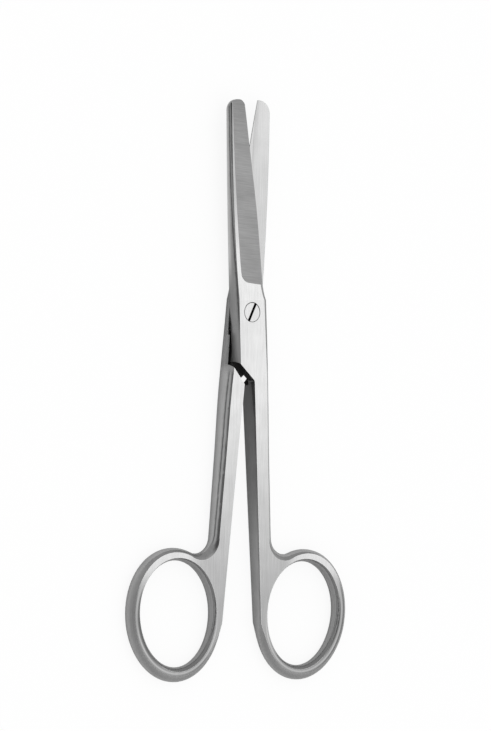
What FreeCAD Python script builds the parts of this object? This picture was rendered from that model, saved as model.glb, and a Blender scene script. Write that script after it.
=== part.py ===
import FreeCAD, Part
import math
import os

# Straight operating scissors with blunt tips, 14.5 cm pattern, lying on their back half.
# Two forged and ground halves cross in a lap joint and turn on a slotted flush screw.
# Each half is modelled closed, as the front one: screw axis on Z, blade towards +Y, its
# handle on the +X side, and Z = 0 between the two lapped faces. The back half is the same
# form turned half a turn about Y, with the dimensions of its own blade.
# All lengths are in millimetres and all angles in degrees.

# Whole instrument
half_open = 4.1            # how far each half stands open from closed, as shown
layer_thick = 2.9          # one half at the screw, from the lapped face to the outer face
face_taper = 0.015         # thickness that each outer face gains per mm towards the tips
lap_clearance = 0.05       # between the two lapped faces
closed_gap = 0.5           # between the two shanks when closed

# Lap joint
spine_flat = 3.9           # screw axis to the outer face's edge on the spine side
spine_swell = 1.0          # how far that side wall bulges past the edge, at the blade
spine_low_swell = 0.65     # the same at the step
rim_flat = 3.85            # screw axis to the outer face's edge on the handle side
rim_swell = 1.95
front_rim_trim = -0.1      # steel ground off each half's rim at the joint
back_rim_trim = 0.5
rim_trim_length = 30.0     # the trim fades out this far along the shank
ridge_height = 0.8         # ridge of each rim that stands beside the other half's spine
ridge_gap = 0.15           # clearance between that ridge and the spine, closed
ridge_end = -6.2           # where the ridge stops, so that the other blade can swing over
lap_edge = 0.4             # broken edge between the lapped face and the rim
lap_edge_end = 0.5         # it stops this far short of the heel
heel_y = 3.0               # where the joint block ends and the blade begins
step_y = -12.8             # spine-side corner of the diagonal step
step_drop = 4.2            # from that corner to the inside of the shank
step_fillet = 1.0
shoulder_drop = 1.15       # clearance between the step and the other half's shoulder
shoulder_turn = 3.85       # width of the steep part of the shoulder
shoulder_angle = 28.0      # slope of its flatter part
shoulder_round = 0.8

# Shank
shank_neck = 3.95          # width of the flat just below the shoulder
shank_mid = 3.65           # width of the flat further down
shank_end = 3.55           # width of the flat above the ring
shank_swell = 1.5          # bulge of the outer wall
shank_inner_swell = 0.08
shank_mid_share = 0.6      # place of the middle width, as a share of the shank's length

# Finger ring
ring_y = -76.57            # screw axis to the ring's centre
ring_half_width = 14.14
ring_half_length = 16.49
ring_lean = 12.35          # lean of the long axis, away from the other ring
ring_side_bar = 3.13       # thickness of the bar beside the hole
ring_end_bar = 3.38        # thickness of the bar above and below the hole
ring_side_swell = 1.3
ring_top_swell = 1.05
ring_bottom_swell = 1.5
ring_swell_from = -8.0     # the swell grows between these angles past the inner side
ring_swell_to = 20.0
hole_shift = 0.3           # the hole sits nearer the shank than the ring's centre
hole_lean = 10.5
hole_egg = 0.035           # share by which the hole widens towards its top
hole_side_swell = 0.65
hole_end_swell = 1.0
web_fillet = 4.6           # round where the ring's top runs into the shank
web_swell = 0.6            # extra bulge of the wall in the middle of that round

# Blades. Widths are from the axis line, at the middle and near the end of each blade.
front_reach = 53.3         # screw axis to the tip
front_spine_mid = 4.45
front_spine_end = 3.87
front_edge_mid = 4.1
front_edge_end = 2.05
front_spine_round = 2.9    # corner radii of the blunt tip
front_edge_round = 2.0
back_reach = 53.7
back_spine_mid = 4.05
back_spine_end = 2.66
back_edge_mid = 3.95
back_edge_end = 1.85
back_spine_round = 3.1
back_edge_round = 0.35
mid_share = 0.563          # place of the middle and end widths, as shares of the reach
end_share = 0.938
edge_flare = 0.3           # how much further than the joint's rim the cutting edge stands
root_length = 10.0         # from the heel to the end of the joint's crown
crown_drop = 0.2           # how far the crown has sunk by the bevel's heel
land_root = 0.8            # heights of the land, as shares of one half's thickness
land_mid = 0.54
land_end = 0.455
blade_swell = 0.85         # bulge of the spine's side wall
edge_thick = 0.35          # stock left at the cutting edge
edge_draft = 0.5           # how far the stock leans in above the cutting edge
root_draft = 2.0           # the same at the root, so that the rim runs into the bevel
hollow_depth = 0.12        # hollow of the inner face at the tip
hollow_radius = 25.0
hollow_from = 8.0

# Ground outer bevel of each blade
bevel_border = 2.75        # axis line to the border between the land and the bevel
bevel_heel = 7.3           # run-out of the bevel at the axis line
bevel_heel_angle = 7.3     # slope of the run-out towards the cutting edge
bevel_corner = 2.6
bevel_step = 0.06          # depth of the border line

# Pivot screw
head_radius = 2.43
head_rim = 0.8             # straight part of the head
head_cone = 0.8
neck_radius = 1.8
thread_radius = 1.5
head_clearance = 0.05
neck_clearance = 0.03
thread_clearance = 0.01
rim_break = 0.1            # broken edge of the head and of its seat
slot_width = 0.68
slot_depth = 0.7
slot_angle = 24.8          # of the slot, clockwise from +Y

# Section of every rounded side wall: part of an ellipse that meets the outer faces in a
# crisp edge. wall_cut is the share of the ellipse's half height that is used.
wall_cut = 0.9
wall_levels = (-1.0, -0.6, 0.0, 0.6, 1.0)
hole_levels = (-1.1, -0.66, 0.0, 0.66, 1.1)

# Sizes that follow from the ones above
inner_x = closed_gap / 2
step_low_y = step_y - step_drop
step_run = math.atan2(-step_drop, inner_x + spine_flat)
root_y = heel_y + root_length
reach_all = 2 * (ring_half_length - ring_y)    # longer than any feature, for cutting tools


def height(y):
    """Half thickness of the forging at a distance y along the instrument."""
    return layer_thick + face_taper * y


def wall_shape(level):
    """Share of the swell left at a level, 1 at the middle plane and 0 at the outer faces."""
    floor = math.sqrt(1 - wall_cut ** 2)
    return (math.sqrt(1 - (wall_cut * level) ** 2) - floor) / (1 - floor)


def smooth(low, high, share):
    """Eased blend from low to high."""
    share = min(1.0, max(0.0, share))
    return low + (high - low) * share * share * (3 - 2 * share)


def through_three(values, stations, y):
    """Value at y on the parabola through three values at three stations."""
    total = 0.0
    for i in range(3):
        term = values[i]
        for j in range(3):
            if j != i:
                term *= (y - stations[j]) / (stations[i] - stations[j])
        total += term
    return total


class WallPoint:
    """A point of an outline on the middle plane, with its outward normal and its swell."""

    def __init__(self, x, y, nx, ny, swell):
        self.x, self.y, self.nx, self.ny, self.swell = x, y, nx, ny, swell

    def at(self, level):
        back = self.swell * (1 - wall_shape(level))
        y = self.y - self.ny * back
        return FreeCAD.Vector(self.x - self.nx * back, y, level * height(y))


def spline(points, stations=None):
    curve = Part.BSplineCurve()
    if stations:
        curve.interpolate(Points=points, Parameters=stations)
    else:
        curve.interpolate(points)
    return curve.toShape()


def run_lengths(segment):
    """Distances along a segment's middle outline, shared by the splines of all its levels."""
    lengths = [0.0]
    for one, two in zip(segment, segment[1:]):
        lengths.append(lengths[-1] + math.hypot(two.x - one.x, two.y - one.y))
    return lengths


def wall_loft(segments, levels):
    """Solid between the outer faces whose side walls follow the outline segments."""
    wires = []
    for level in levels:
        edges = []
        for segment in segments:
            points = [point.at(level) for point in segment]
            if len(points) == 2:
                edges.append(Part.LineSegment(points[0], points[1]).toShape())
            else:
                edges.append(spline(points, run_lengths(segment)))
        wires.append(Part.Wire(edges))
    return Part.makeLoft(wires, True, False)


def prism(points, low, high):
    """Upright prism on a closed outline of (x, y) points."""
    corners = [FreeCAD.Vector(x, y, low) for x, y in points]
    face = Part.Face(Part.makePolygon(corners + corners[:1]))
    return face.extrude(FreeCAD.Vector(0, 0, high - low))


def ring_point(angle, grow=0.0):
    """Point and outward normal of the ring's leaning ellipse, grown outwards by grow."""
    c, s = math.cos(angle), math.sin(angle)
    nx, ny = ring_half_length * c, ring_half_width * s
    size = math.hypot(nx, ny)
    x = ring_half_width * c + grow * nx / size
    y = ring_half_length * s + grow * ny / size
    cl, sl = math.cos(math.radians(-ring_lean)), math.sin(math.radians(-ring_lean))
    return (ring_x + x * cl - y * sl, ring_y + x * sl + y * cl,
            (nx * cl - ny * sl) / size, (nx * sl + ny * cl) / size)


# The ring's inner side carries on the straight inside of the shank.
lean_x = ring_half_width * math.cos(math.radians(ring_lean))
lean_y = ring_half_length * math.sin(math.radians(ring_lean))
ring_x = inner_x + math.hypot(lean_x, lean_y)
ring_start = math.pi + math.atan2(lean_y, lean_x)


def ring_swell(angle):
    """Swell of the ring's outer wall round its ellipse."""
    past = math.degrees(angle - ring_start) - ring_swell_from
    end = ring_top_swell if math.sin(angle) > 0 else ring_bottom_swell
    full = ring_side_swell + (end - ring_side_swell) * math.sin(angle) ** 2
    return smooth(shank_inner_swell, full, past / (ring_swell_to - ring_swell_from))


def find_web():
    """Ring angle and centre of the fillet that touches the ring and the shank's outer wall."""
    line_x = inner_x + shank_end + shank_swell
    low, high = math.radians(95), math.radians(175)
    for _ in range(60):
        mid = (low + high) / 2
        if ring_point(mid, web_fillet)[0] > line_x + web_fillet:
            low = mid
        else:
            high = mid
    x, y, _, _ = ring_point(low, web_fillet)
    return low, x, y


web_angle, web_x, web_y = find_web()


def outer_flat(y):
    """X of the outer face's edge on the handle side, from the heel to the ring."""
    mid_y = step_low_y + (web_y - step_low_y) * shank_mid_share
    stations = ((heel_y, rim_flat), (step_low_y, inner_x + shank_neck),
                (mid_y, inner_x + shank_mid), (web_y, inner_x + shank_end))
    for (y1, x1), (y2, x2) in zip(stations, stations[1:]):
        if y >= y2:
            return smooth(x1, x2, (y1 - y) / (y1 - y2))
    return stations[-1][1]


def outer_swell(y):
    """Swell of the outer wall, full at the joint and less along the shank."""
    return smooth(rim_swell, shank_swell, -y / -step_low_y)


def rim_x(y, trim):
    """X of the outer wall where it bulges furthest."""
    return outer_flat(y) + outer_swell(y) - trim * smooth(1, 0, (heel_y - y) / rim_trim_length)


def rim_points(trim):
    """Outer wall from the ring's fillet up to the heel."""
    points = []
    for i in range(11):
        y = web_y + (heel_y - web_y) * i / 10
        points.append(WallPoint(rim_x(y, trim), y, 1, 0, outer_swell(y)))
    return points


def joint_spine_swell(y):
    """Swell of the joint block's spine-side wall, from the heel down to the step."""
    share = (heel_y - y) / (heel_y - step_y)
    return spine_swell + (spine_low_swell - spine_swell) * share


def spine_points():
    """Spine-side wall of the joint block, down to the step's outer corner."""
    points = []
    for i in range(4):
        y = heel_y + (step_y - heel_y) * i / 3
        swell = joint_spine_swell(y)
        points.append(WallPoint(-spine_flat - swell, y, -1, 0, swell))
    # The step is one upright plane, so its outer corner rises with the wall's bulge.
    slope = math.tan(-step_run)
    points[-1].y += slope * points[-1].swell
    points[-1].ny = slope
    return points


def step_points():
    """Upright step, and the concave round that leads into the inside of the shank."""
    nx, ny = math.sin(step_run), -math.cos(step_run)
    turn = math.pi / 2 + step_run
    cut = step_fillet * math.tan(turn / 2)
    x = inner_x - cut * math.cos(step_run)
    y = step_low_y - cut * math.sin(step_run)
    end = WallPoint(x, y, nx, ny, 0.0)
    centre_x, centre_y = x + nx * step_fillet, y + ny * step_fillet
    corner = [end]
    for i in range(1, 5):
        a = turn * (1 - i / 4)
        corner.append(WallPoint(centre_x + step_fillet * math.cos(a),
                                centre_y + step_fillet * math.sin(a),
                                -math.cos(a), -math.sin(a), shank_inner_swell * i / 4))
    return end, corner


def ring_points():
    """Outer wall of the ring, from the shank's inside round to the fillet."""
    points = []
    for i in range(31):
        angle = ring_start + (2 * math.pi + web_angle - ring_start) * i / 30
        x, y, nx, ny = ring_point(angle)
        points.append(WallPoint(x, y, nx, ny, ring_swell(angle)))
    return points


def web_points(ring_end):
    """Concave fillet between the ring's top and the shank's outer wall."""
    start = math.atan2(ring_end.y - web_y, ring_end.x - web_x)
    points = [ring_end]
    for i in range(1, 7):
        a = start - (math.pi + start) * i / 6
        swell = smooth(ring_end.swell, shank_swell, i / 6)
        swell += web_swell * math.sin(math.pi * i / 6)
        points.append(WallPoint(web_x + web_fillet * math.cos(a),
                                web_y + web_fillet * math.sin(a),
                                -math.cos(a), -math.sin(a), swell))
    return points


def blank(trim):
    """The forging up to its heel, both layers thick, before any cut."""
    rim = rim_points(trim)
    spine = spine_points()
    step_end, corner = step_points()
    ring = ring_points()
    web = web_points(ring[-1])
    return wall_loft([rim, [rim[-1], spine[0]], spine, [spine[-1], step_end], corner,
                      [corner[-1], ring[0]], ring, web[:-1] + [rim[0]]], wall_levels)


def finger_hole():
    """Tool for the finger hole, with walls that swell into it."""
    a = ring_half_width - ring_side_bar
    b = ring_half_length - ring_end_bar
    cl, sl = math.cos(math.radians(-hole_lean)), math.sin(math.radians(-hole_lean))
    segments = []
    for quarter in range(4):
        segment = []
        for i in range(7):
            angle = (quarter + i / 6) * math.pi / 2
            c, s = math.cos(angle), math.sin(angle)
            size = math.hypot(b * c, a * s)
            nx, ny = b * c / size, a * s / size
            swell = hole_side_swell + (hole_end_swell - hole_side_swell) * min(0.0, s) ** 2
            u, v = a * c * (1 + hole_egg * s), b * s
            # The steel lies outside the hole, so its outward normal points into the hole.
            segment.append(WallPoint(ring_x - hole_shift + u * cl - v * sl,
                                     ring_y + hole_shift + u * sl + v * cl,
                                     -(nx * cl - ny * sl), -(nx * sl + ny * cl), swell))
        segments.append(segment)
    return wall_loft(segments, hole_levels)


def upright_edge(tool, x, y):
    """The upright edge of a prism that stands at (x, y)."""
    for edge in tool.Edges:
        box = edge.BoundBox
        if box.XLength + box.YLength < 0.001 and math.hypot(box.XMin - x, box.YMin - y) < 0.001:
            return [edge]
    return []


def lap_cut(trim):
    """Tool that mills away the other half's layer, down to the diagonal shoulder."""
    low_y = step_low_y - shoulder_drop
    turn_x = inner_x + shoulder_turn
    turn_y = low_y + shoulder_turn * math.tan(-step_run)
    out_y = turn_y + (reach_all - turn_x) * math.tan(math.radians(shoulder_angle))
    points = [(-reach_all, low_y), (inner_x, low_y), (turn_x, turn_y),
              (reach_all, out_y), (reach_all, reach_all), (-reach_all, reach_all)]
    base = lap_clearance / 2

    def milled(top):
        tool = prism(points, -reach_all, top)
        return tool.makeFillet(shoulder_round, upright_edge(tool, turn_x, turn_y))

    # The rim keeps a low ridge beside the other half's spine, from the shoulder upwards.
    x1 = spine_flat + joint_spine_swell(ridge_end) + ridge_gap
    x2 = spine_flat + joint_spine_swell(step_y) + ridge_gap
    ridge = prism([(x1, ridge_end), (x2, step_y), (x2, -reach_all), (reach_all, -reach_all),
                   (reach_all, ridge_end)], -ridge_height, layer_thick)
    # Above the ridge the lapped face's edge along the rim is broken.
    x = rim_x(ridge_end / 2, trim) - lap_edge
    wedge = Part.makePolygon([FreeCAD.Vector(x, ridge_end, base - layer_thick),
                              FreeCAD.Vector(x, ridge_end, base),
                              FreeCAD.Vector(x + layer_thick, ridge_end, base + layer_thick),
                              FreeCAD.Vector(x + layer_thick, ridge_end, base - layer_thick),
                              FreeCAD.Vector(x, ridge_end, base - layer_thick)])
    wedge = Part.Face(wedge).extrude(
        FreeCAD.Vector(0, heel_y - lap_edge_end - ridge_end, 0))
    return milled(base).cut(ridge).fuse(wedge)


class Blade:
    """Widths, reach and tip of one blade; it starts where the joint block ends."""

    def __init__(self, reach, trim, spine, edge, rounds):
        self.reach, self.trim, self.rounds = reach, trim, rounds
        self.spine = (spine_flat + spine_swell,) + spine
        self.edge = (rim_flat + rim_swell + edge_flare,) + edge
        self.stations = (heel_y, mid_share * reach, end_share * reach)
        self.cuts = [root_y + (reach + 1.5 - root_y) * i / 4 for i in range(5)]

    def spine_x(self, y):
        return -through_three(self.spine, self.stations, y)

    def edge_x(self, y):
        return through_three(self.edge, self.stations, y)

    def land(self, y):
        """Height of the land beside the spine, from the joint's face down to the tip."""
        stations = (root_y,) + self.stations[1:]
        if y < root_y:
            share = (y - heel_y) / root_length
            low = land_root * layer_thick
            return height(heel_y) + (low - height(heel_y)) * share ** 1.5
        heights = tuple(layer_thick * share for share in (land_root, land_mid, land_end))
        low = layer_thick * land_end
        return max(low, through_three(heights, stations, min(y, self.stations[2])))

    def section(self, y):
        """Section before the bevel is ground, with side walls like the joint's."""
        top, base = self.land(y), lap_clearance / 2

        levels = (base / top, 0.4, 0.75, 1.0)
        draft = smooth(root_draft, edge_draft, (y - root_y) / root_length)
        left = [FreeCAD.Vector(self.spine_x(y) + blade_swell * (1 - wall_shape(level)), y,
                               level * top) for level in levels]
        right = [FreeCAD.Vector(self.edge_x(y) - draft * (level - levels[0]), y, level * top)
                 for level in levels]
        return Part.Wire([Part.LineSegment(left[0], right[0]).toShape(), spline(right),
                          Part.LineSegment(right[-1], left[-1]).toShape(), spline(left[::-1])])

    def tip(self):
        """Prism that keeps the blade inside its blunt, rounded tip."""
        low_y = self.reach - 2 * sum(self.rounds)
        clear = 0.03
        x1, x2 = self.spine_x(self.reach) - clear, self.edge_x(self.reach) + clear
        tool = prism([(-reach_all, -reach_all), (reach_all, -reach_all), (reach_all, low_y),
                      (self.edge_x(low_y) + clear, low_y), (x2, self.reach), (x1, self.reach),
                      (self.spine_x(low_y) - clear, low_y), (-reach_all, low_y)],
                     -reach_all, reach_all)
        for x, radius in ((x1, self.rounds[0]), (x2, self.rounds[1])):
            tool = tool.makeFillet(radius, upright_edge(tool, x, self.reach))
        return tool

    def bevel(self):
        """Grinding tool for the outer bevel: a ruled facet from the border to the edge."""
        over = 3.0
        wires = []
        for y in [heel_y, (heel_y + root_y) / 2] + self.cuts:
            x, z = self.edge_x(y), self.land(y) - bevel_step
            slope = (edge_thick - z) / (x + bevel_border)
            left, right = -bevel_border - over, x + over
            points = [FreeCAD.Vector(left, y, z - over * slope),
                      FreeCAD.Vector(right, y, edge_thick + over * slope),
                      FreeCAD.Vector(right, y, 2 * layer_thick),
                      FreeCAD.Vector(left, y, 2 * layer_thick)]
            wires.append(Part.makePolygon(points + points[:1]))
        facet = Part.makeLoft(wires, True, False)
        slope = math.tan(math.radians(-bevel_heel_angle))
        y1 = bevel_heel - slope * bevel_border
        y2 = bevel_heel + slope * reach_all
        tool = prism([(-bevel_border, y1), (reach_all, y2), (reach_all, reach_all),
                      (-bevel_border, reach_all)], -reach_all, reach_all)
        return facet.common(tool.makeFillet(bevel_corner, upright_edge(tool, -bevel_border, y1)))

    def hollow(self):
        """Grinding wheel that hollows the inner face more and more towards the tip."""
        base = lap_clearance / 2 - hollow_radius
        root_x = (self.spine_x(root_y) + self.edge_x(root_y)) / 2
        tip_x = (self.spine_x(self.reach) + self.edge_x(self.reach)) / 2
        start = FreeCAD.Vector(root_x, hollow_from, base)
        along = FreeCAD.Vector(tip_x, self.reach, base + hollow_depth).sub(start)
        return Part.makeCylinder(hollow_radius, along.Length * 1.1, start, along)

    def solid(self, heel_wire):
        """The finished blade, grown from the end face of the joint block."""
        body = Part.makeLoft([heel_wire] + [self.section(y) for y in self.cuts], True, False)
        body = body.cut(self.bevel())
        body = body.common(self.tip())
        return body.cut(self.hollow())


def half(blade):
    """One forged and ground half, closed, before the hole for the screw is bored."""
    body = blank(blade.trim).cut(lap_cut(blade.trim))
    heel = [face for face in body.Faces
            if face.BoundBox.YLength < 0.001 and abs(face.BoundBox.YMin - heel_y) < 0.001][0]
    body = body.fuse(blade.solid(heel.OuterWire))
    return body.cut(finger_hole())


def turned(profile):
    """Solid of revolution about Z from (radius, z) points that start and end on the axis."""
    points = [FreeCAD.Vector(r, 0, z) for r, z in profile]
    face = Part.Face(Part.makePolygon(points + points[:1]))
    return face.revolve(FreeCAD.Vector(0, 0, 0), FreeCAD.Vector(0, 0, 1), 360)


def screw():
    """Slotted flush screw: head in the front half, thread in the back half."""
    cone_z = layer_thick - head_rim
    neck_z = cone_z - head_cone
    lap_z = -lap_clearance / 2
    end_z = -2 * layer_thick
    body = turned([(0, layer_thick), (head_radius - rim_break, layer_thick),
                   (head_radius, layer_thick - rim_break), (head_radius, cone_z),
                   (neck_radius, neck_z), (neck_radius, lap_z), (thread_radius, lap_z),
                   (thread_radius, end_z), (0, end_z)])
    length = 3 * head_radius
    slot = Part.makeBox(slot_width, length, length,
                        FreeCAD.Vector(-slot_width / 2, -length / 2, layer_thick - slot_depth))
    slot.rotate(FreeCAD.Vector(0, 0, 0), FreeCAD.Vector(0, 0, 1), -slot_angle)
    return body.cut(slot)


def screw_seat():
    """Countersunk running hole for the screw in the front half."""
    seat = head_radius + head_clearance
    bore = neck_radius + neck_clearance
    top = height(heel_y) + layer_thick
    rim_z = layer_thick + face_taper * seat
    return turned([(0, top), (seat + rim_break + top - rim_z, top), (seat, rim_z - rim_break),
                   (seat, layer_thick - head_rim), (bore, layer_thick - head_rim - head_cone),
                   (bore, -layer_thick), (0, -layer_thick)])


def tapped_hole():
    """Hole for the screw's thread in the back half, before it is turned over."""
    return Part.makeCylinder(thread_radius + thread_clearance, 2 * reach_all,
                             FreeCAD.Vector(0, 0, -reach_all))


front_blade = Blade(front_reach, front_rim_trim, (front_spine_mid, front_spine_end),
                    (front_edge_mid, front_edge_end), (front_spine_round, front_edge_round))
back_blade = Blade(back_reach, back_rim_trim, (back_spine_mid, back_spine_end),
                   (back_edge_mid, back_edge_end), (back_spine_round, back_edge_round))

origin = FreeCAD.Vector(0, 0, 0)
front = half(front_blade).cut(screw_seat())
front.rotate(origin, FreeCAD.Vector(0, 0, 1), half_open)
back = half(back_blade).cut(tapped_hole())
back.rotate(origin, FreeCAD.Vector(0, 1, 0), 180)
back.rotate(origin, FreeCAD.Vector(0, 0, 1), -half_open)

# The instrument rests on the back half's outer face, so that face is turned level, about
# the back half's own cross direction, and set at Z = 0.
level_axis = FreeCAD.Vector(math.cos(math.radians(half_open)),
                            -math.sin(math.radians(half_open)), 0)
level_angle = math.atan(face_taper)

os.makedirs("parts", exist_ok=True)
for name, shape in (("front_half", front), ("back_half", back), ("pivot_screw", screw())):
    shape.rotate(origin, level_axis, math.degrees(level_angle))
    shape.translate(FreeCAD.Vector(0, 0, layer_thick * math.cos(level_angle)))
    if name == "pivot_screw":
        # The threaded end is ground flush with the back half's outer face.
        shape = shape.cut(Part.makeBox(2 * layer_thick, 2 * layer_thick, 4 * layer_thick,
                                       FreeCAD.Vector(-layer_thick, -layer_thick,
                                                      -4 * layer_thick)))
    solid = shape.Solids[0]
    print(name, len(shape.Solids), "solid", solid.isValid(), round(solid.Volume, 1), "mm3")
    solid.exportStep("parts/" + name + ".step")
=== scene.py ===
import math

import bpy
import numpy as np
from mathutils import Matrix, Vector

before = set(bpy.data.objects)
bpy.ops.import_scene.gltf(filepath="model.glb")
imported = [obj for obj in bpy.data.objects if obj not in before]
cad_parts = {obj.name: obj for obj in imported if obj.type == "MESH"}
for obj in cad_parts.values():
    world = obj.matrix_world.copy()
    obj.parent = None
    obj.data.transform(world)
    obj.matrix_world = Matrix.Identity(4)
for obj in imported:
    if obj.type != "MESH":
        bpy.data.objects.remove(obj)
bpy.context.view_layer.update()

# Straight operating scissors: the three solids of the part's source, dressed in ground and
# polished stainless steel. X runs across them, Y towards the tips and Z up. Lengths are in
# millimetres and angles in degrees, as in the source, unless a comment says otherwise.
MM = 0.001

# Repeated from the part's source, where each half is modelled closed, as the front one
HALF_OPEN = 4.1                    # how far each half stands open
LAYER_THICK = 2.9                  # one half at the screw
FACE_TAPER = 0.015                 # thickness that an outer face gains per mm to the tips
HEEL = 3.0                         # where the joint ends and the blade begins
RING_CENTRE = (14.506, -76.57)
RING_LEAN = 12.35                  # of the ring's long axis

# Finger ring: half width and half length of two ellipses about its centre
CREST = (12.24, 14.39)             # crest line of the flat
HOLE_REACH = (12.257, 14.42)       # bounds the wall of the hole

# Places that part the finishes of a half, in its own closed frame: along Y, unless named
BEVEL_FROM = 5.0
SHOULDER_FROM = -8.0
STEP_FROM = -12.0
SHANK_FROM = -17.0
JOINT_FROM = -21.0
RING_FROM = -58.0
SHANK_INSIDE = 2.0                 # X below which a shank's wall is its inner one
SHOULDER_TOP = 0.9                 # Z
RIDGE_HEIGHTS = (-1.2, -0.5)       # Z
LAP_REACH = 0.3                    # the inner face lies within this of the lap
FACE_SLACK = 0.05                  # the outer face lies within this of its plane

# Slot of the screw, which gets painted shade between two depths
SLOT_DEPTHS = (0.2, 0.85)          # depths between which it is dark
HEAD_INSIDE = 2.4                  # radius within the head's rim

# Camera: it looks straight down, then leans to the left of the scissors and towards their
# rings, as in the photograph
TARGET = (0.515, -13.2065, 2.7026)
DISTANCE = 774.02
LEFT_LEAN = 37.7546
RING_SIDE_LEAN = 2.9781
ROLL = 0.8691
LENS, SENSOR_WIDTH = 152.4745, 36.0

# What polished steel mirrors of the room: tone by height angle over the scissors' length, as
# a share that is 0 at the left horizon, 0.5 overhead and 1 at the right horizon
ROOM = [(0.0, 0.52), (0.06, 0.44), (0.105, 0.11), (0.13, 0.11), (0.17, 0.46), (0.25, 0.48),
        (0.32, 0.13), (0.46, 0.07), (0.53, 0.36), (0.60, 1.10), (0.68, 1.36), (0.73, 1.30),
        (0.79, 0.76), (0.85, 0.46), (0.93, 0.40), (1.0, 0.32)]
ROOM_END = 0.34                    # beyond the tips and the rings
ROOM_END_LEAN = (0.22, 0.65)       # Y part of a direction where that end begins and is full

FLOOR_REACH = 3000.0
FLOOR_TONE = 0.96
FLOOR_IN_STEEL = 0.54              # tone of the floor as the steel mirrors it
FLOOR_WHITE = 0.88                 # share of plain white in the floor that the camera sees

# Noise scales of the brush lines: long along the scissors, or across the ground bevel
BRUSHED_ALONG = (3500, 58, 3500)
BRUSHED_ACROSS = (150, 4200, 150)
LINE_DEPTH = 0.1                   # of the brush lines' relief, at full strength
CLOUD_SCALE = 180.0                # noise scale of the clouds in the steel
CLOUDY = 0.05                      # share by which the clouds change the tone
ROUGH_SPREAD = 0.15                # share by which they change the roughness
MEAN_STREAK = 0.985                # mean tone of the brush lines
NOISE_ENDS = (0.3, 0.7)            # noise values of the darkest and the brightest tone
# Bright edges: partly wear, partly a painted highlight along them
WORN_GLINT_TONE = 0.92
WORN_GLINT_TURN = (0.995, 0.93)          # cosine of the edge's turn where the wear and painted highlight begin and are full
CROWN = 0.035                      # metres of crown per squared share past the crest

# Places of the finishes in a half's list of materials
WALL, FACE, BEVEL, INNER, SHANK_IN, LAND, PAINTED_SHADE, RIDGE, HOLE = range(9)


def make_camera():
    """Camera at the photograph's viewing angle, turned about its target."""
    data = bpy.data.cameras.new("camera")
    data.lens, data.sensor_width = LENS, SENSOR_WIDTH
    data.clip_start, data.clip_end = 0.01, 50.0
    camera = bpy.data.objects.new("camera", data)
    camera.matrix_world = (Matrix.Translation(Vector(TARGET) * MM)
                           @ Matrix.Rotation(math.radians(-LEFT_LEAN), 4, "Y")
                           @ Matrix.Rotation(math.radians(RING_SIDE_LEAN), 4, "X")
                           @ Matrix.Rotation(math.radians(ROLL), 4, "Z")
                           @ Matrix.Translation((0, 0, DISTANCE * MM)))
    bpy.context.scene.collection.objects.link(camera)
    bpy.context.scene.camera = camera


def node(tree, kind, **values):
    """New node with some of its properties set."""
    made = tree.nodes.new(kind)
    for name, value in values.items():
        setattr(made, name, value)
    return made


def math_node(tree, operation, *values):
    """Result of a sum on sockets or plain numbers."""
    made = node(tree, "ShaderNodeMath", operation=operation)
    for socket, value in zip(made.inputs, values):
        if isinstance(value, (int, float)):
            socket.default_value = value
        else:
            tree.links.new(value, socket)
    return made.outputs[0]


def product(tree, *values):
    """First value times all the others."""
    result = values[0]
    for value in values[1:]:
        result = math_node(tree, "MULTIPLY", result, value)
    return result


def smooth_step(tree, value, start, full):
    """0 before start, 1 past full and a smooth rise between them; start may be the larger."""
    made = node(tree, "ShaderNodeMapRange", interpolation_type="SMOOTHSTEP")
    made.inputs["From Min"].default_value = start
    made.inputs["From Max"].default_value = full
    tree.links.new(value, made.inputs["Value"])
    return made.outputs["Result"]


def grey(tone):
    """Colour of a grey tone."""
    return (tone, tone, tone, 1)


def ramp_node(tree, factor, stops):
    """Grey tone through (position, tone) stops."""
    made = node(tree, "ShaderNodeValToRGB")
    ramp = made.color_ramp
    while len(ramp.elements) < len(stops):
        ramp.elements.new(0.5)
    for element, (position, tone) in zip(ramp.elements, stops):
        element.position = position
        element.color = grey(tone)
    tree.links.new(factor, made.inputs["Fac"])
    return made.outputs["Color"]


def mix_tones(tree, a, b, factor=1.0, blend="MIX"):
    """Mix of two tones; a, b and the factor are sockets or plain numbers."""
    made = node(tree, "ShaderNodeMix", data_type="RGBA", blend_type=blend)
    for name, value in (("A", a), ("B", b), ("Factor", factor)):
        if isinstance(value, (int, float)):
            made.inputs[name].default_value = value if name == "Factor" else grey(value)
        else:
            tree.links.new(value, made.inputs[name])
    return made.outputs["Result"]


def mix_shaders(tree, a, b, factor):
    """Shader a where the factor is 0 and b where it is 1."""
    made = node(tree, "ShaderNodeMixShader")
    tree.links.new(factor, made.inputs["Fac"])
    tree.links.new(a, made.inputs[1])
    tree.links.new(b, made.inputs[2])
    return made.outputs[0]


def make_world():
    """Plain white light, and for what the steel mirrors a room of bright and dark bands."""
    world = bpy.data.worlds.new("studio")
    bpy.context.scene.world = world
    world.use_nodes = True
    tree = world.node_tree
    tree.nodes.clear()
    direction = node(tree, "ShaderNodeTexCoord").outputs["Generated"]
    split = node(tree, "ShaderNodeSeparateXYZ")
    tree.links.new(direction, split.inputs[0])
    left = math_node(tree, "MULTIPLY", split.outputs["X"], -1.0)
    angle = math_node(tree, "ARCTAN2", split.outputs["Z"], left)
    bands = ramp_node(tree, math_node(tree, "DIVIDE", angle, math.pi), ROOM)
    lean = math_node(tree, "ABSOLUTE", split.outputs["Y"])
    room = node(tree, "ShaderNodeBackground")
    tone = mix_tones(tree, bands, ROOM_END, smooth_step(tree, lean, *ROOM_END_LEAN))
    tree.links.new(tone, room.inputs["Color"])
    plain = node(tree, "ShaderNodeBackground")
    plain.inputs["Color"].default_value = grey(1)
    path = node(tree, "ShaderNodeLightPath")
    out = node(tree, "ShaderNodeOutputWorld")
    tree.links.new(mix_shaders(tree, plain.outputs[0], room.outputs[0],
                               path.outputs["Is Glossy Ray"]), out.inputs["Surface"])


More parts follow.
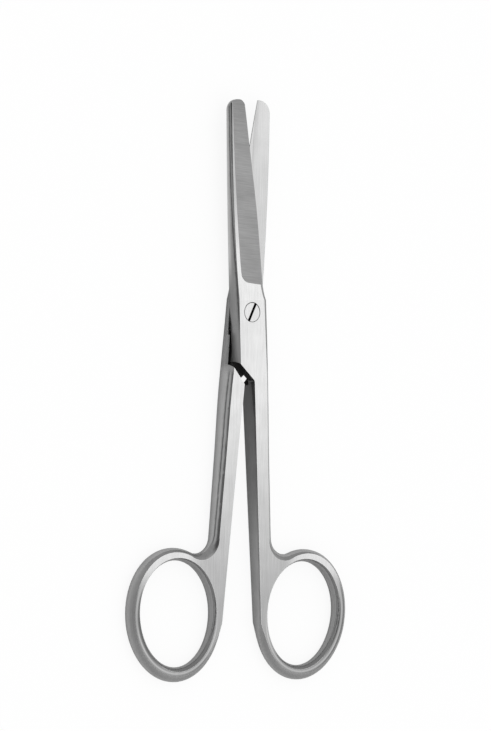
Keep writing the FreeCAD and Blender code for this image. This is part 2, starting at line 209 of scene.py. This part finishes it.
def make_floor():
    """Plain white floor; polished steel mirrors it as a mid grey."""
    mesh = bpy.data.meshes.new("floor")
    s = FLOOR_REACH * MM
    mesh.from_pydata([(-s, -s, 0), (s, -s, 0), (s, s, 0), (-s, s, 0)], [], [(0, 1, 2, 3)])
    floor = bpy.data.objects.new("floor", mesh)
    bpy.context.scene.collection.objects.link(floor)
    material = bpy.data.materials.new("floor")
    material.use_nodes = True
    tree = material.node_tree
    shader = tree.nodes["Principled BSDF"]
    shader.inputs["Roughness"].default_value = 0.9
    shader.inputs["Specular IOR Level"].default_value = 0.0
    path = node(tree, "ShaderNodeLightPath")
    tone = mix_tones(tree, FLOOR_TONE, FLOOR_IN_STEEL, path.outputs["Is Glossy Ray"])
    tree.links.new(tone, shader.inputs["Base Color"])
    white = node(tree, "ShaderNodeEmission")
    white.inputs["Color"].default_value = grey(1)
    share = math_node(tree, "MULTIPLY", path.outputs["Is Camera Ray"], FLOOR_WHITE)
    tree.links.new(mix_shaders(tree, shader.outputs[0], white.outputs[0], share),
                   tree.nodes["Material Output"].inputs["Surface"])
    mesh.materials.append(material)


class Steel:
    """One finish of stainless steel under way.

    It begins as a cloudy tone with brush lines. The steps that follow paint light and shade
    into the tone, or change the roughness or the sheen in zones of the piece, and done()
    adds edges that are bright from wear and a painted highlight, and relief.
    """

    def __init__(self, name, tone, roughness, grain=BRUSHED_ALONG, contrast=0.05, bump=0.02):
        self.material = bpy.data.materials.new(name)
        self.material.use_nodes = True
        self.tree = tree = self.material.node_tree
        self.shader = tree.nodes["Principled BSDF"]
        self.shader.inputs["Metallic"].default_value = 1.0
        self.bump = bump
        self.place = node(tree, "ShaderNodeTexCoord").outputs["Object"]
        split = node(tree, "ShaderNodeSeparateXYZ")
        tree.links.new(self.place, split.inputs[0])
        self.y, self.z = split.outputs["Y"], split.outputs["Z"]
        cloud = self.noise(self.place, scale=CLOUD_SCALE, detail=3.0)
        stretch = node(tree, "ShaderNodeMapping")
        stretch.inputs["Scale"].default_value = grain
        tree.links.new(self.place, stretch.inputs["Vector"])
        self.lines = self.noise(stretch.outputs[0], scale=1.0, detail=2.0)
        low, high = NOISE_ENDS
        self.tone = mix_tones(
            tree,
            ramp_node(tree, cloud, [(low, tone * (1 - CLOUDY)), (high, tone * (1 + CLOUDY))]),
            ramp_node(tree, self.lines, [(low, MEAN_STREAK - contrast),
                                         (high, MEAN_STREAK + contrast)]),
            blend="MULTIPLY")
        spread = node(tree, "ShaderNodeMapRange")
        spread.inputs["To Min"].default_value = roughness * (1 - ROUGH_SPREAD)
        spread.inputs["To Max"].default_value = roughness * (1 + ROUGH_SPREAD)
        tree.links.new(cloud, spread.inputs["Value"])
        self.roughness = spread.outputs["Result"]

    def noise(self, place, scale, detail):
        """Soft noise between 0 and 1."""
        made = node(self.tree, "ShaderNodeTexNoise")
        made.inputs["Scale"].default_value = scale
        made.inputs["Detail"].default_value = detail
        self.tree.links.new(place, made.inputs["Vector"])
        return made.outputs["Fac"]

    def zone(self, axis, start, full):
        """Share that rises from 0 to 1 between two places on an axis."""
        return smooth_step(self.tree, axis, start * MM, full * MM)

    def distance(self, direction, centre=(0, 0, 0), unit=1.0):
        """Distance from a centre along a direction, in units of so many metres."""
        offset = node(self.tree, "ShaderNodeVectorMath", operation="SUBTRACT")
        offset.inputs[1].default_value = centre
        self.tree.links.new(self.place, offset.inputs[0])
        made = node(self.tree, "ShaderNodeVectorMath", operation="DOT_PRODUCT")
        made.inputs[1].default_value = tuple(part / unit for part in direction)
        self.tree.links.new(offset.outputs[0], made.inputs[0])
        return made.outputs["Value"]

    def fade(self, axis, stops):
        """Paints light and shade along an axis: multiplies the tone through (place, factor)
        stops.
        """
        first, last = stops[0][0], stops[-1][0]
        share = node(self.tree, "ShaderNodeMapRange")
        share.inputs["From Min"].default_value = first * MM
        share.inputs["From Max"].default_value = last * MM
        self.tree.links.new(axis, share.inputs["Value"])
        factor = ramp_node(self.tree, share.outputs["Result"],
                           [((place - first) / (last - first), f) for place, f in stops])
        self.tone = mix_tones(self.tree, self.tone, factor, blend="MULTIPLY")

    def shade(self, factor, *shares):
        """Paints light and shade: multiplies the tone by the factor, above 1 for a highlight
        and below 1 for shade, where all the shares are 1.
        """
        mask = product(self.tree, *shares)
        step = ramp_node(self.tree, mask, [(0.0, 1.0), (1.0, factor)])
        self.tone = mix_tones(self.tree, self.tone, step, blend="MULTIPLY")

    def roughen(self, amount, share):
        """Adds the amount to the roughness where the share is 1."""
        self.roughness = math_node(self.tree, "ADD", self.roughness,
                                   math_node(self.tree, "MULTIPLY", share, amount))

    def dull(self, amount, share):
        """Takes the amount off the metal's sheen where the share is 1."""
        metal = math_node(self.tree, "SUBTRACT", 1.0,
                          math_node(self.tree, "MULTIPLY", share, amount))
        self.tree.links.new(metal, self.shader.inputs["Metallic"])

    def relief(self, height, normal, strength=1.0, distance=1.0):
        """The normal bent by a relief, whose height counts in units of so many metres."""
        made = node(self.tree, "ShaderNodeBump")
        made.inputs["Strength"].default_value = strength
        made.inputs["Distance"].default_value = distance
        self.tree.links.new(height, made.inputs["Height"])
        self.tree.links.new(normal, made.inputs["Normal"])
        return made.outputs["Normal"]

    def done(self, wear_and_glint=0.5, edge=0.1, crown=None):
        """Wears the edges bright, partly as wear and partly as a painted highlight, links tone
        and roughness and adds relief. The soft edge is in the normal, except on a face with a
        crown, whose normal is the crown's."""
        tree = self.tree
        rounding = node(tree, "ShaderNodeBevel", samples=6)
        rounding.inputs["Radius"].default_value = edge * MM
        soft = rounding.outputs["Normal"]
        flat = node(tree, "ShaderNodeNewGeometry").outputs["Normal"]
        if wear_and_glint:
            near = node(tree, "ShaderNodeVectorMath", operation="DOT_PRODUCT")
            tree.links.new(soft, near.inputs[0])
            tree.links.new(flat, near.inputs[1])
            turn = node(tree, "ShaderNodeMapRange")
            turn.inputs["From Min"].default_value = WORN_GLINT_TURN[0]
            turn.inputs["From Max"].default_value = WORN_GLINT_TURN[1]
            turn.inputs["To Max"].default_value = wear_and_glint
            tree.links.new(near.outputs["Value"], turn.inputs["Value"])
            # Edges brightened: partly wear, partly a painted highlight
            self.tone = mix_tones(tree, self.tone, WORN_GLINT_TONE, turn.outputs["Result"])
        tree.links.new(self.tone, self.shader.inputs["Base Color"])
        tree.links.new(self.roughness, self.shader.inputs["Roughness"])
        normal = self.relief(crown, flat) if crown else soft
        normal = self.relief(self.lines, normal, strength=self.bump, distance=LINE_DEPTH * MM)
        tree.links.new(normal, self.shader.inputs["Normal"])
        return self.material


def side_wall():
    """Forged side walls: the lower edge of the blade has a painted highlight, the flank of the
    joint is dull and darkened by painted shade, and the rings' sides are satin."""
    steel = Steel("steel_wall", 0.57, 0.15)
    # Painted light along the length, with painted shade beside the joint
    steel.fade(steel.y, [(-95.0, 1.0), (-60.0, 1.1), (-16.0, 1.15), (-13.5, 0.56),
                         (-8.0, 0.54), (-1.0, 0.76), (55.0, 0.78)])
    # Painted highlight on the lower part of the blade's wall
    steel.shade(2.2, steel.zone(steel.y, start=4.0, full=14.0),
                steel.zone(steel.z, start=4.6, full=3.4))
    flank = product(steel.tree, steel.zone(steel.y, start=-16.0, full=-13.5),
                    steel.zone(steel.y, start=-1.0, full=-9.0))
    steel.roughen(0.35, flank)
    steel.roughen(0.34, steel.zone(steel.y, start=-60.0, full=-68.0))
    steel.dull(0.5, flank)
    return steel.done(wear_and_glint=0.1)


def shank_inside():
    """Inner walls of the shanks, which see little of the room; their low tone is painted shade.
    """
    steel = Steel("steel_shank", 0.42, 0.15)
    # Painted light along the length: brighter towards the rings
    steel.fade(steel.y, [(-90.0, 1.3), (-60.0, 1.3), (-42.0, 0.9), (-15.0, 0.9)])
    return steel.done()


def hole_wall():
    """Wall of a finger hole, with painted shade over its upper half."""
    steel = Steel("steel_hole", 0.60, 0.15)
    # Painted shade on the upper half of the wall
    steel.fade(steel.z, [(0.0, 1.0), (1.9, 1.0), (2.3, 0.8), (5.0, 0.8)])
    return steel.done()


def ring_shares(steel, side):
    """Place on a finger ring, in shares of its crest line's ellipse: across, along the long
    axis, and out from the centre, which is 1 on the crest."""
    turn, lean = math.radians(HALF_OPEN), math.radians(RING_LEAN - HALF_OPEN)
    x, y = RING_CENTRE
    centre = (side * (x * math.cos(turn) - y * math.sin(turn)) * MM,
              (x * math.sin(turn) + y * math.cos(turn)) * MM, 0)
    across = steel.distance((side * math.cos(lean), -math.sin(lean), 0), centre, CREST[0] * MM)
    along = steel.distance((side * math.sin(lean), math.cos(lean), 0), centre, CREST[1] * MM)
    squares = [product(steel.tree, share, share) for share in (across, along)]
    out = math_node(steel.tree, "SQRT", math_node(steel.tree, "ADD", *squares))
    return across, along, out


def outer_flat(name, side):
    """Outer face of a half; side is 1 where its ring is on the right and -1 on the left. The
    flat of the ring has a painted highlight on its crest and a crown on its lower part, and a
    painted highlight on its top. Its tone along the length is painted light, darker towards
    the rings."""
    steel = Steel("steel_face_" + name, 0.655, 0.18)
    tree = steel.tree
    # Painted light along the length: darker towards the rings
    steel.fade(steel.y, [(-95.0, 0.38), (-84.0, 0.44), (-72.0, 0.54), (-62.0, 0.62),
                         (-54.0, 0.68), (-42.0, 0.77), (-22.0, 0.93), (0.0, 0.96),
                         (10.0, 0.96)])
    across, along, out = ring_shares(steel, side)
    past = math_node(tree, "SUBTRACT", out, 1.0)
    beside_crest = math_node(tree, "ABSOLUTE", past)
    # Painted highlight along the crest of the ring's lower part
    steel.shade(1.4, smooth_step(tree, beside_crest, start=0.022, full=0.006),
                smooth_step(tree, along, start=0.0, full=-0.5))
    # Painted highlight on the top of the ring
    steel.shade(1.45, smooth_step(tree, along, start=0.55, full=0.9),
                steel.zone(steel.y, start=-57.5, full=-60.5),
                smooth_step(tree, across, start=-0.75, full=-0.3))
    down = math_node(tree, "SUBTRACT", math_node(tree, "MULTIPLY", across, 0.9), along)
    weight = smooth_step(tree, down, start=-0.2, full=0.5)
    return steel.done(wear_and_glint=0.9, edge=0.15, crown=product(tree, past, past, weight, -CROWN))


def ground_bevel():
    """Outer bevel of a blade, with grinding lines across it."""
    steel = Steel("steel_bevel", 0.52, 0.30, grain=BRUSHED_ACROSS, contrast=0.11, bump=0.03)
    # Painted light along the length: brighter at the heel, darker towards the tip
    steel.fade(steel.y, [(4.0, 1.12), (12.0, 1.1), (28.0, 0.9), (54.0, 0.86)])
    return steel.done()


def inner_face(name, strip):
    """Lapped and hollow-ground inner face, darkened by painted shade in the joint; strip adds
    painted shade beside the ridge of the joint.
    """
    steel = Steel("steel_inner_" + name, 0.59, 0.20)
    # Painted light along the length, with painted shade in the joint
    steel.fade(steel.y, [(-22.0, 0.4), (-15.0, 0.4), (-12.0, 0.86), (28.0, 0.86),
                         (44.0, 0.93), (54.0, 1.0)])
    if strip:
        turn = math.radians(HALF_OPEN)
        beside = steel.distance((-math.cos(turn), math.sin(turn), 0))
        # Painted shade in the gap beside the ridge
        steel.shade(0.06, steel.zone(beside, start=3.0, full=3.4),
                    steel.zone(steel.y, start=2.0, full=-1.0),
                    steel.zone(beside, start=4.9, full=4.5))
    return steel.done()


def blade_land():
    """Narrow land between a blade's back and its bevel."""
    steel = Steel("steel_land", 0.66, 0.18)
    # Painted light along the length: darker towards the tip
    steel.fade(steel.y, [(4.0, 1.0), (14.0, 0.96), (28.0, 0.67), (44.0, 0.62)])
    return steel.done()


def painted_shade_steel():
    """Steel deep in a gap, dulled, and darkened to near black as painted shade."""
    material = bpy.data.materials.new("steel_painted_shade")
    material.use_nodes = True
    tree = material.node_tree
    shader = tree.nodes["Principled BSDF"]
    place = node(tree, "ShaderNodeTexCoord").outputs["Object"]
    spots = node(tree, "ShaderNodeTexNoise")
    spots.inputs["Scale"].default_value = 900.0
    tree.links.new(place, spots.inputs["Vector"])
    # Painted shade: near-black tone
    tone = ramp_node(tree, spots.outputs["Fac"], list(zip(NOISE_ENDS, (0.03, 0.06))))
    tree.links.new(tone, shader.inputs["Base Color"])
    shader.inputs["Metallic"].default_value = 0.9
    shader.inputs["Roughness"].default_value = 0.4
    shader.inputs["Specular IOR Level"].default_value = 0.1
    return material


def own_frame(rows, name, directions=False):
    """Points or directions of the lying half in its own closed frame, in which the source
    models it as the front half: open turn, taper's tilt and the back half's flip undone."""
    turn = math.radians(HALF_OPEN)
    taper = math.atan(FACE_TAPER)
    across = Vector((math.cos(turn), -math.sin(turn), 0))
    front = name == "front_half"
    full = (Matrix.Rotation(taper, 3, across)
            @ Matrix.Rotation(turn if front else -turn, 3, "Z")
            @ (Matrix.Identity(3) if front else Matrix.Rotation(math.pi, 3, "Y")))
    if not directions:
        rows = rows - np.array((0, 0, LAYER_THICK * math.cos(taper)))
    return rows @ np.array(full)


def facets(mesh):
    """Centres, in millimetres, and normals of all facets, as rows."""
    count = len(mesh.polygons)
    centres, normals = np.empty(count * 3), np.empty(count * 3)
    mesh.polygons.foreach_get("center", centres)
    mesh.polygons.foreach_get("normal", normals)
    return centres.reshape(-1, 3) / MM, normals.reshape(-1, 3)


def put_on(mesh, materials, index):
    """Gives the mesh its materials, by facet."""
    mesh.materials.clear()
    for material in materials:
        mesh.materials.append(material)
    mesh.polygons.foreach_set("material_index", index)
    mesh.update()


def dress_half(name, materials):
    """Gives each facet of a half the finish of its place, found in the half's own frame. The
    limits on nx, ny and nz are cosines between the facet's normal and an axis."""
    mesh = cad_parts[name].data
    centres, normals = facets(mesh)
    x, y, z = own_frame(centres, name).T
    nx, ny, nz = own_frame(normals, name, directions=True).T
    index = np.full(len(x), WALL)

    outer = np.abs(np.abs(z) - (LAYER_THICK + FACE_TAPER * y)) < FACE_SLACK
    index[outer & (np.abs(nz) > 0.99)] = FACE
    index[(y > HEEL) & (nz > 0.93)] = LAND
    index[(y > BEVEL_FROM) & (nz > 0.9) & (nx > 0.12)] = BEVEL
    index[(np.abs(z) < LAP_REACH) & (nz < -0.97)] = INNER

    shank = (y < SHANK_FROM) & (x < SHANK_INSIDE)
    index[shank & (nx < -0.9) & (np.abs(nz) < 0.3)] = SHANK_IN
    cos, sin = math.cos(math.radians(RING_LEAN)), math.sin(math.radians(RING_LEAN))
    dx, dy = x - RING_CENTRE[0], y - RING_CENTRE[1]
    in_hole = np.hypot((dx * cos - dy * sin) / HOLE_REACH[0],
                       (dx * sin + dy * cos) / HOLE_REACH[1]) < 1
    index[(y < RING_FROM) & in_hole & (np.abs(nz) < 0.97)] = HOLE

    joint = (y > JOINT_FROM) & (y < HEEL)
    step = (y < STEP_FROM) & (ny < -0.45)
    shoulder = (y < SHOULDER_FROM) & (z < SHOULDER_TOP) & (ny > 0.4)
    ridge = (z > RIDGE_HEIGHTS[0]) & (z < RIDGE_HEIGHTS[1]) & (np.abs(nz) > 0.9)
    # Painted shade on the step and the shoulder of the joint
    index[joint & (step | shoulder)] = PAINTED_SHADE
    index[joint & ridge] = RIDGE
    put_on(mesh, materials, index)


def dress_screw(head, slot):
    """Bright head with painted shade in its slot."""
    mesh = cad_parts["pivot_screw"].data
    x, y, z = facets(mesh)[0].T
    deep = z.max() - z
    # The slot's facets get the painted shade
    in_slot = (np.hypot(x, y) < HEAD_INSIDE) & (deep > SLOT_DEPTHS[0]) & (deep < SLOT_DEPTHS[1])
    put_on(mesh, [head, slot], in_slot.astype(int))


def dress_scissors():
    """Makes the finishes, with the light and shade painted into them, and puts them on the two
    halves and the screw.
    """
    wall = side_wall()
    shank = shank_inside()
    hole = hole_wall()
    flats = {"front": outer_flat("front", side=1), "back": outer_flat("back", side=-1)}
    bevel = ground_bevel()
    inners = {"front": inner_face("front", strip=False), "back": inner_face("back", strip=True)}
    land = blade_land()
    # Painted shade for the joint's step and shoulder and the screw's slot
    dark = painted_shade_steel()
    ridge = Steel("steel_ridge", 0.34, 0.6).done(wear_and_glint=0.0)
    head = Steel("steel_screw", 0.62, 0.18).done()
    for name in ("front", "back"):
        dress_half(name + "_half", [wall, flats[name], bevel, inners[name], shank, land, dark,
                                    ridge, hole])
    dress_screw(head, dark)


bpy.context.scene.view_settings.view_transform = "Standard"
make_camera()
make_world()
make_floor()
dress_scissors()
